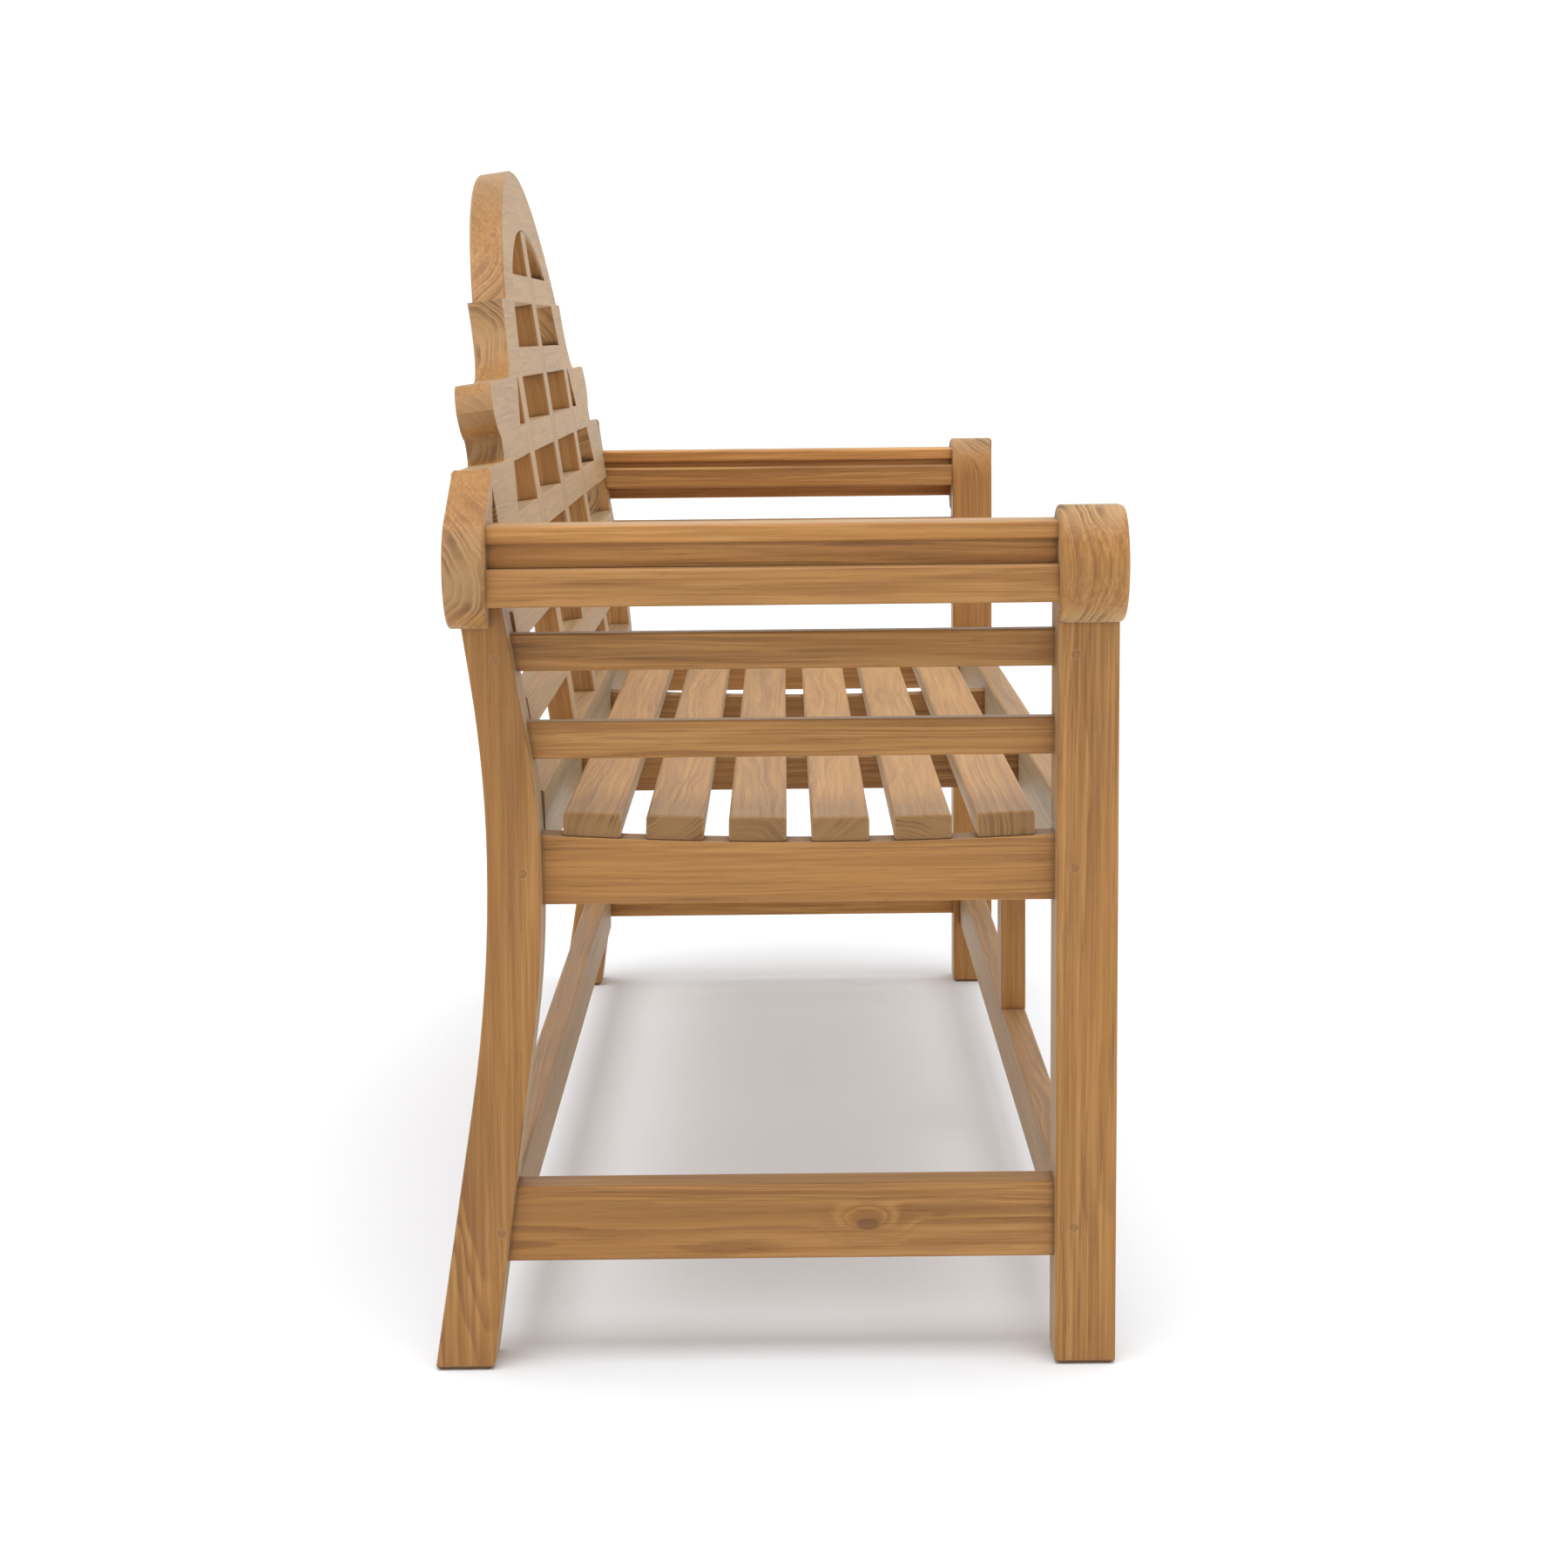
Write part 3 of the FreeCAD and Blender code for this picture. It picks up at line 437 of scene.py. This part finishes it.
@dataclass(frozen=True)
class TeakBoard:
    """The timber of one board: which way it grows and where it sat in the log.

    figure is the strength of its growth rings, tone its brightness, streaks the strength of its
    dark streaks, turn how far the log was rolled under the saw, and end_tone how stained its
    sawn ends are.
    """

    node: str
    grain: GrainAxis
    sawing: Sawing = Sawing.RIFT
    figure: float = 0.85
    tone: float = 1.0
    streaks: float = 0.55
    turn: float = 0.0
    end_tone: float = 0.45
    knot: Knot | None = None

    # Metres and radians from the middle of the board to the pith.
    PITH_DISTANCE = {Sawing.QUARTER: 0.16, Sawing.RIFT: 0.10, Sawing.FLAT: 0.045}
    PITH_SIDE = {Sawing.QUARTER: 0.0, Sawing.RIFT: 0.7, Sawing.FLAT: math.pi / 2}
    RAKE = math.radians(8.0)     # how far the back leans
    # Metres: the width of the painted highlight on an arris, the reach of the painted shade in a corner,
    # the depth of the pores.
    ARRIS_REACH = 0.0022
    CORNER_SHADE_REACH = 0.008
    RELIEF = 0.0006
    # The arris mask carries a painted highlight and the corner mask carries painted shade.
    END_FACING = (0.55, 0.92)
    ARRIS_TURN = (0.985, 0.86)
    CORNER_SHADE_DEPTH = (0.80, 0.38)
    NO_KNOT = (9.0, 9.0, 9.0)

    def seeded(self) -> random.Random:
        """A random source that depends on the board's name alone."""
        return random.Random("teak:" + self.node)

    def axes(self) -> Matrix:
        """Find how the fibres lie in the bench.

        Returns:
            The rotation from the bench's axes to the board's own, with the fibres on X.
        """
        upright = Matrix.Rotation(math.pi / 2, 3, "Y")
        return {
            GrainAxis.ALONG: Matrix.Identity(3),
            GrainAxis.ACROSS: Matrix.Rotation(-math.pi / 2, 3, "Z"),
            GrainAxis.UPRIGHT: upright,
            GrainAxis.RAKED: upright @ Matrix.Rotation(self.RAKE, 3, "X"),
        }[self.grain]

    def mapping(self) -> tuple[Vector, Euler]:
        """Where the board lies in its log.

        Returns:
            The offset and the rotation for a Mapping node of point type.
        """
        chance = self.seeded()
        roll = Matrix.Rotation(chance.uniform(-0.16, 0.16), 3, "X")
        drift = Matrix.Rotation(chance.uniform(-0.012, 0.012), 3, "Z")
        turn = drift @ roll @ self.axes()
        low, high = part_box(self.node)
        centre = turn @ ((low + high) / 2)
        side = self.PITH_SIDE[self.sawing] + self.turn + chance.uniform(-0.25, 0.25)
        distance = self.PITH_DISTANCE[self.sawing] * chance.uniform(0.85, 1.25)
        pith = Vector((0.0, math.cos(side), math.sin(side))) * distance
        along = Vector((chance.uniform(-40.0, 40.0), 0.0, 0.0))
        return along + pith - Vector((0, centre.y, centre.z)), turn.to_euler("XYZ")

    def dress(self, grain: TeakGrain) -> bpy.types.Material:
        """Make this board's material and put it on its node.

        Args:
            grain: the shared grain group.

        Returns:
            The new material.
        """
        material = bpy.data.materials.new("teak_" + self.node)
        material.use_nodes = True
        kit = NodeBench(material.node_tree)
        shader = material.node_tree.nodes["Principled BSDF"]
        chance = self.seeded()

        place = kit.add("ShaderNodeTexCoord")
        offset, turn = self.mapping()
        log = kit.add("ShaderNodeMapping", vector_type="POINT")
        kit.feed(log.inputs["Vector"], place.outputs["Object"])
        log.inputs["Location"].default_value = offset
        log.inputs["Rotation"].default_value = turn

        group = kit.add("ShaderNodeGroup", node_tree=grain.group)
        kit.feed(group.inputs["Fibre"], log.outputs[0])
        kit.feed(group.inputs["Knot"], self.knot_place(kit, place.outputs["Object"]))
        kit.feed(group.inputs["End"], self.sawn_across(kit, place.outputs["Normal"], turn))
        # The arris mask feeds a painted highlight and the corner mask feeds painted shade.
        kit.feed(group.inputs["EdgeHighlight"], self.arris_highlight(kit))
        kit.feed(group.inputs["CornerShade"], self.corner_shade(kit))
        group.inputs["Figure"].default_value = self.figure * chance.uniform(0.85, 1.15)
        group.inputs["Tone"].default_value = self.tone * chance.uniform(0.91, 1.03)
        group.inputs["Streaks"].default_value = self.streaks * chance.uniform(0.6, 1.3)
        group.inputs["EndTone"].default_value = self.end_tone

        bump = kit.add("ShaderNodeBump")
        bump.inputs["Strength"].default_value = 0.32
        bump.inputs["Distance"].default_value = self.RELIEF
        kit.feed(bump.inputs["Height"], group.outputs["Height"])

        kit.feed(shader.inputs["Base Color"], group.outputs["Color"])
        kit.feed(shader.inputs["Roughness"], group.outputs["Roughness"])
        kit.feed(shader.inputs["Normal"], bump.outputs[0])
        shader.inputs["Specular IOR Level"].default_value = 0.32
        shader.inputs["Sheen Weight"].default_value = 0.20
        shader.inputs["Sheen Roughness"].default_value = 0.38
        shader.inputs["Sheen Tint"].default_value = (0.94, 1.0, 0.74, 1.0)
        put_on(self.node, material)
        return material

    def sawn_across(self, kit: NodeBench, normal: bpy.types.NodeSocket, turn: Euler
                    ) -> bpy.types.NodeSocket:
        """Tell the sawn ends from the long faces.

        Args:
            kit: the board's own node tree.
            normal: which way the surface faces.
            turn: the rotation from the bench's axes to the board's own.

        Returns:
            1 where the surface is cut across the fibres, 0 along them.
        """
        fibre_way = turn.to_matrix().transposed() @ Vector((1.0, 0.0, 0.0))
        facing = kit.vector("DOT_PRODUCT", normal, tuple(fibre_way)).outputs["Value"]
        return kit.ramp(kit.math("ABSOLUTE", facing), *self.END_FACING)

    def arris_highlight(self, kit: NodeBench) -> bpy.types.NodeSocket:
        """Find the arrises, where a highlight is painted on in a paler colour.

        Args:
            kit: the board's own node tree.

        Returns:
            1 along an arris, 0 on the open face.
        """
        # The paler colour laid along the arrises is a painted highlight.
        geometry = kit.add("ShaderNodeNewGeometry")
        soft = kit.add("ShaderNodeBevel", samples=4)
        soft.inputs["Radius"].default_value = self.ARRIS_REACH
        sharp = kit.vector("DOT_PRODUCT", soft.outputs["Normal"], geometry.outputs["Normal"])
        return kit.ramp(sharp.outputs["Value"], *self.ARRIS_TURN)

    def corner_shade(self, kit: NodeBench) -> bpy.types.NodeSocket:
        """Find the corners where another piece meets this one, by ambient occlusion, where shade is
        painted in darker.

        Args:
            kit: the board's own node tree.

        Returns:
            1 deep in a corner, 0 on the open face.
        """
        # Ambient occlusion marks where shade falls; the darker colour laid there is painted shade.
        occlusion_probe = kit.add("ShaderNodeAmbientOcclusion", samples=6)
        occlusion_probe.inputs["Distance"].default_value = self.CORNER_SHADE_REACH
        return kit.ramp(occlusion_probe.outputs["AO"], *self.CORNER_SHADE_DEPTH)

    def knot_place(self, kit: NodeBench, place: bpy.types.NodeSocket) -> object:
        """The coordinate round the knot, one unit at its rim.

        Args:
            kit: the board's own node tree.
            place: the coordinate on the bench.

        Returns:
            An output socket, or a far point where the board has no knot.
        """
        if self.knot is None:
            return self.NO_KNOT
        along, across = self.knot.reach
        scale = {
            GrainAxis.ALONG: (along, across, across),
            GrainAxis.ACROSS: (across, along, across),
            GrainAxis.UPRIGHT: (across, across, along),
            GrainAxis.RAKED: (across, across, along),
        }[self.grain]
        away = kit.vector("SUBTRACT", place, self.knot.place).outputs[0]
        return kit.vector("DIVIDE", away, scale).outputs[0]


def put_on(node: str, material: bpy.types.Material) -> None:
    """Give a CAD node's object one material on all its slots.

    Args:
        node: the node's name.
        material: the finish it gets.
    """
    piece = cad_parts[node]
    if not piece.material_slots:
        piece.data.materials.append(material)
    for slot in piece.material_slots:
        slot.material = material
    LOG.info("%s wears %s", node, material.name)


@dataclass
class BenchEnd:
    """One arm and its two legs: frame pieces, side rail, slats and battens.

    paleness brightens all its boards as painted light, for an end that lies in the bench's own shade, and
    knots are the knots of its boards by their plain names.
    """

    side: Side
    painted_light_lift: float = 1.0
    streaks: float = 0.75
    knots: dict[str, Knot] = field(default_factory=dict)

    def boards(self) -> list[TeakBoard]:
        """Choose the timber of every piece in this end.

        Returns:
            The boards, with the frame pieces first.
        """
        upright, across, along = GrainAxis.UPRIGHT, GrainAxis.ACROSS, GrainAxis.ALONG
        # Plain name, grain, sawing, figure, tone, turn of the log, stain of the ends.
        plan = (
            ("front_leg", upright, Sawing.RIFT, 0.60, 1.00, 0.0, 0.3),
            ("rear_leg", upright, Sawing.FLAT, 0.65, 0.94, 0.4, 0.3),
            ("arm_roll_cheek", upright, Sawing.FLAT, 0.80, 1.06, -1.4, 0.1),
            ("scroll_board", along, Sawing.FLAT, 0.75, 1.06, 0.8, 0.45),
            ("seat_side_rail", across, Sawing.RIFT, 0.75, 1.02, 0.0, 0.3),
            ("side_stretcher", across, Sawing.FLAT, 0.75, 1.00, 1.2, 0.3),
            ("arm_upper_slat", across, Sawing.FLAT, 0.60, 0.94, 0.9, 0.3),
            ("arm_lower_slat", across, Sawing.RIFT, 0.60, 1.02, 0.0, 0.3),
            # The top batten's high tone is partly painted light from above on its upper face, partly
            # paler weathered wood.
            ("arm_top_batten", across, Sawing.FLAT, 0.50, 1.34, 0.0, 0.3),
            ("arm_outer_batten", across, Sawing.FLAT, 0.70, 1.04, 1.1, 0.3),
            ("arm_inner_batten", across, Sawing.RIFT, 0.55, 0.96, 0.0, 0.3),
        )
        boards = []
        for name, grain, sawing, figure, tone, turn, stain in plan:
            boards.append(TeakBoard(
                f"{name}_{self.side.value}", grain, sawing, figure, tone * self.painted_light_lift,
                self.streaks, turn, stain, self.knots.get(name)))
        return boards


@dataclass
class BenchSeat:
    """The slatted seat with its long rails and cross bearers, and the stretchers below."""

    slat_count: int = 6

    def boards(self) -> list[TeakBoard]:
        """Choose the timber of the seat and the long members.

        Returns:
            The boards, with the slats first.
        """
        along, across, upright = GrainAxis.ALONG, GrainAxis.ACROSS, GrainAxis.UPRIGHT
        sawings = list(Sawing)
        boards = []
        for index in range(self.slat_count):
            boards.append(TeakBoard(
                f"seat_slat_{index + 1}", along, sawings[index % len(sawings)],
                figure=0.60, tone=1.22, streaks=0.6, turn=0.3 * index, end_tone=0.9))
        boards += [
            TeakBoard("front_seat_rail", along),
            TeakBoard("rear_seat_rail", along),
            TeakBoard("front_stretcher", along, Sawing.FLAT, turn=1.0),
            TeakBoard("rear_stretcher", along),
            TeakBoard("centre_post", upright),
            TeakBoard("seat_bearer_left", across, tone=0.92),
            TeakBoard("seat_bearer_right", across, tone=0.92),
        ]
        return boards


@dataclass
class BenchBack:
    """The arched back: its shaped boards, six level rails and three uprights."""

    shaped: tuple[str, str, str] = ("haunch_board", "ear_board", "shoulder_board")
    rail_count: int = 6
    figure: float = 0.35         # planed smoother than the frame, so its rings show less
    board_figure: float = 0.40
    streaks: float = 0.4

    def boards(self) -> list[TeakBoard]:
        """Choose the timber of the back.

        Returns:
            The boards, from the crown down.
        """
        along, quiet, lively = GrainAxis.ALONG, self.figure, self.board_figure
        boards = [TeakBoard("crown_board", along, Sawing.FLAT, lively, 1.00, self.streaks, 1.2, 0.0)]
        for side in Side:
            haunch, ear, shoulder = (f"{board}_{side.value}" for board in self.shaped)
            boards += [
                TeakBoard(haunch, along, Sawing.FLAT, lively, 1.05, self.streaks, 1.3, 0.2),
                TeakBoard(ear, along, Sawing.FLAT, lively, 1.04, 0.5, 0.9, 0.45),
                TeakBoard(shoulder, along, Sawing.RIFT, quiet, 1.03, self.streaks, end_tone=0.0),
            ]
        for index in range(self.rail_count):
            boards.append(TeakBoard(
                f"back_rail_{index + 1}", along, Sawing.QUARTER, quiet, 1.03, self.streaks, end_tone=0.0))
        for name in ("left", "centre", "right"):
            boards.append(TeakBoard(
                f"back_upright_{name}", GrainAxis.RAKED, Sawing.RIFT, quiet, 1.02, self.streaks))
        return boards


@dataclass(frozen=True)
class DowelWood:
    """Turned dowels and peg ends, a shade darker than the boards they hold."""

    nodes: tuple[str, ...] = ("draw_pegs", "board_dowels", "slat_dowels")
    pale: tuple[float, float, float] = (0.340, 0.160, 0.050)
    dark: tuple[float, float, float] = (0.210, 0.092, 0.028)
    fleck_scale: tuple[float, float, float] = (700.0, 700.0, 700.0)
    cloud_scale: tuple[float, float, float] = (60.0, 60.0, 60.0)

    def dress(self) -> None:
        """Make the dowel finish and put it on every dowel node."""
        material = bpy.data.materials.new("dowel_wood")
        material.use_nodes = True
        kit = NodeBench(material.node_tree)
        shader = material.node_tree.nodes["Principled BSDF"]
        place = kit.add("ShaderNodeTexCoord").outputs["Object"]
        fleck = kit.noise(place, self.fleck_scale, 2.0, 0.6)
        cloud = kit.noise(place, self.cloud_scale, 1.0)
        colour = kit.blend(kit.ramp(fleck, 0.35, 0.7), self.pale, self.dark)
        colour = kit.blend(kit.math("MULTIPLY", cloud, 0.4), colour, self.dark)
        kit.feed(shader.inputs["Base Color"], colour)
        kit.feed(shader.inputs["Roughness"], kit.math("MULTIPLY_ADD", fleck, 0.2, 0.55))
        bump = kit.add("ShaderNodeBump")
        bump.inputs["Strength"].default_value = 0.3
        bump.inputs["Distance"].default_value = 0.0004
        kit.feed(bump.inputs["Height"], fleck)
        kit.feed(shader.inputs["Normal"], bump.outputs[0])
        for node in self.nodes:
            put_on(node, material)


@dataclass(frozen=True)
class ScrewSteel:
    """Brushed stainless steel of the countersunk screws under the seat."""

    node: str = "slat_screws"
    bright: tuple[float, float, float] = (0.50, 0.49, 0.47)
    dull: tuple[float, float, float] = (0.36, 0.35, 0.33)
    brush_scale: tuple[float, float, float] = (300.0, 2400.0, 300.0)

    def dress(self) -> None:
        """Make the screw finish and put it on the screws."""
        material = bpy.data.materials.new("screw_steel")
        material.use_nodes = True
        kit = NodeBench(material.node_tree)
        shader = material.node_tree.nodes["Principled BSDF"]
        place = kit.add("ShaderNodeTexCoord").outputs["Object"]
        brush = kit.noise(place, self.brush_scale, 2.0)
        colour = kit.blend(kit.ramp(brush, 0.3, 0.7), self.bright, self.dull)
        kit.feed(shader.inputs["Base Color"], colour)
        kit.feed(shader.inputs["Roughness"], kit.math("MULTIPLY_ADD", brush, 0.2, 0.28))
        shader.inputs["Metallic"].default_value = 1.0
        put_on(self.node, material)


@dataclass(frozen=True)
class Studio:
    """Pale floor, soft overhead light and the camera at the end of the bench."""

    floor_reach: float = 60.0
    floor_tone: tuple[float, float, float] = (0.88, 0.91, 0.94)
    horizon_glow: float = 1.10
    zenith_glow: float = 0.70
    fade: tuple[float, float] = (0.16, 0.70)      # sine of the height where the glow fades
    top_light: float = 2.0
    top_light_spread: float = math.radians(50.0)
    top_light_turn: tuple[float, float, float] = (math.radians(-1.0), math.radians(-9.0), 0.0)
    stand: tuple[float, float, float] = (-3.2023, -0.0195, 0.8804)
    pan: float = 0.0011
    tilt: float = 0.1524
    cant: float = 0.0107
    lens: float = 67.29

    def lay_floor(self) -> None:
        """Lay one wide pale floor under the feet."""
        bpy.ops.object.select_all(action="DESELECT")
        bpy.ops.mesh.primitive_plane_add(size=self.floor_reach, location=(0.0, 0.0, 0.0))
        floor = bpy.context.active_object
        floor.name = "studio_floor"
        material = bpy.data.materials.new("pale_floor")
        material.use_nodes = True
        shader = material.node_tree.nodes["Principled BSDF"]
        shader.inputs["Base Color"].default_value = (*self.floor_tone, 1.0)
        shader.inputs["Roughness"].default_value = 0.9
        shader.inputs["Specular IOR Level"].default_value = 0.0
        floor.data.materials.append(material)

    def hang_top_light(self) -> None:
        """Hang one wide soft light above the bench, a little to its left end."""
        lamp = bpy.data.lights.new("top_light", "SUN")
        lamp.energy = self.top_light
        lamp.angle = self.top_light_spread
        holder = bpy.data.objects.new("top_light", lamp)
        holder.rotation_euler = Euler(self.top_light_turn)
        bpy.context.scene.collection.objects.link(holder)

    def light(self) -> None:
        """Fill the studio with even light, brightest at the horizon, and light it from above."""
        bpy.context.scene.view_settings.view_transform = "Standard"
        world = bpy.data.worlds.new("studio_air")
        world.use_nodes = True
        air = world.node_tree.nodes["Background"]
        air.inputs["Color"].default_value = (1.0, 1.0, 1.0, 1.0)
        kit = NodeBench(world.node_tree)
        way = kit.add("ShaderNodeSeparateXYZ")
        kit.feed(way.inputs[0], kit.add("ShaderNodeTexCoord").outputs["Generated"])
        rise = kit.ramp(way.outputs["Z"], *self.fade)
        glow = kit.math("MULTIPLY_ADD", rise, self.zenith_glow - self.horizon_glow, self.horizon_glow)
        kit.feed(air.inputs["Strength"], glow)
        bpy.context.scene.world = world
        self.hang_top_light()

    def stand_camera(self) -> None:
        """Stand the camera at the left end, looking along the bench."""
        forward = Vector((math.cos(self.tilt), math.sin(self.pan), -math.sin(self.tilt))).normalized()
        level = forward.cross(Vector((0.0, 0.0, 1.0))).normalized()
        rise = level.cross(forward)
        right = math.cos(self.cant) * level - math.sin(self.cant) * rise
        up = math.sin(self.cant) * level + math.cos(self.cant) * rise
        turn = Matrix((right, up, -forward)).transposed()
        data = bpy.data.cameras.new("end_camera")
        data.lens = self.lens
        data.sensor_width = 36.0
        data.clip_end = 200.0
        camera = bpy.data.objects.new("end_camera", data)
        camera.matrix_world = Matrix.Translation(self.stand) @ turn.to_4x4()
        bpy.context.scene.collection.objects.link(camera)
        bpy.context.scene.camera = camera


def main() -> None:
    """Dress the bench board by board, then set up the studio."""
    logging.basicConfig(level=logging.INFO, format="%(name)s: %(message)s")
    grain = TeakGrain(TeakTones())
    stretcher_knot = {"side_stretcher": Knot((-0.772, -0.085, 0.124), (0.012, 0.006))}
    left_end = BenchEnd(Side.LEFT, knots=stretcher_knot)
    # The far end is brightened with painted light, since it lies in the bench's own shade.
    right_end = BenchEnd(Side.RIGHT, painted_light_lift=1.16)
    for part in (left_end, right_end, BenchSeat(), BenchBack()):
        for board in part.boards():
            board.dress(grain)
    DowelWood().dress()
    ScrewSteel().dress()
    studio = Studio()
    studio.lay_floor()
    studio.light()
    studio.stand_camera()


if __name__ == "__main__":
    main()
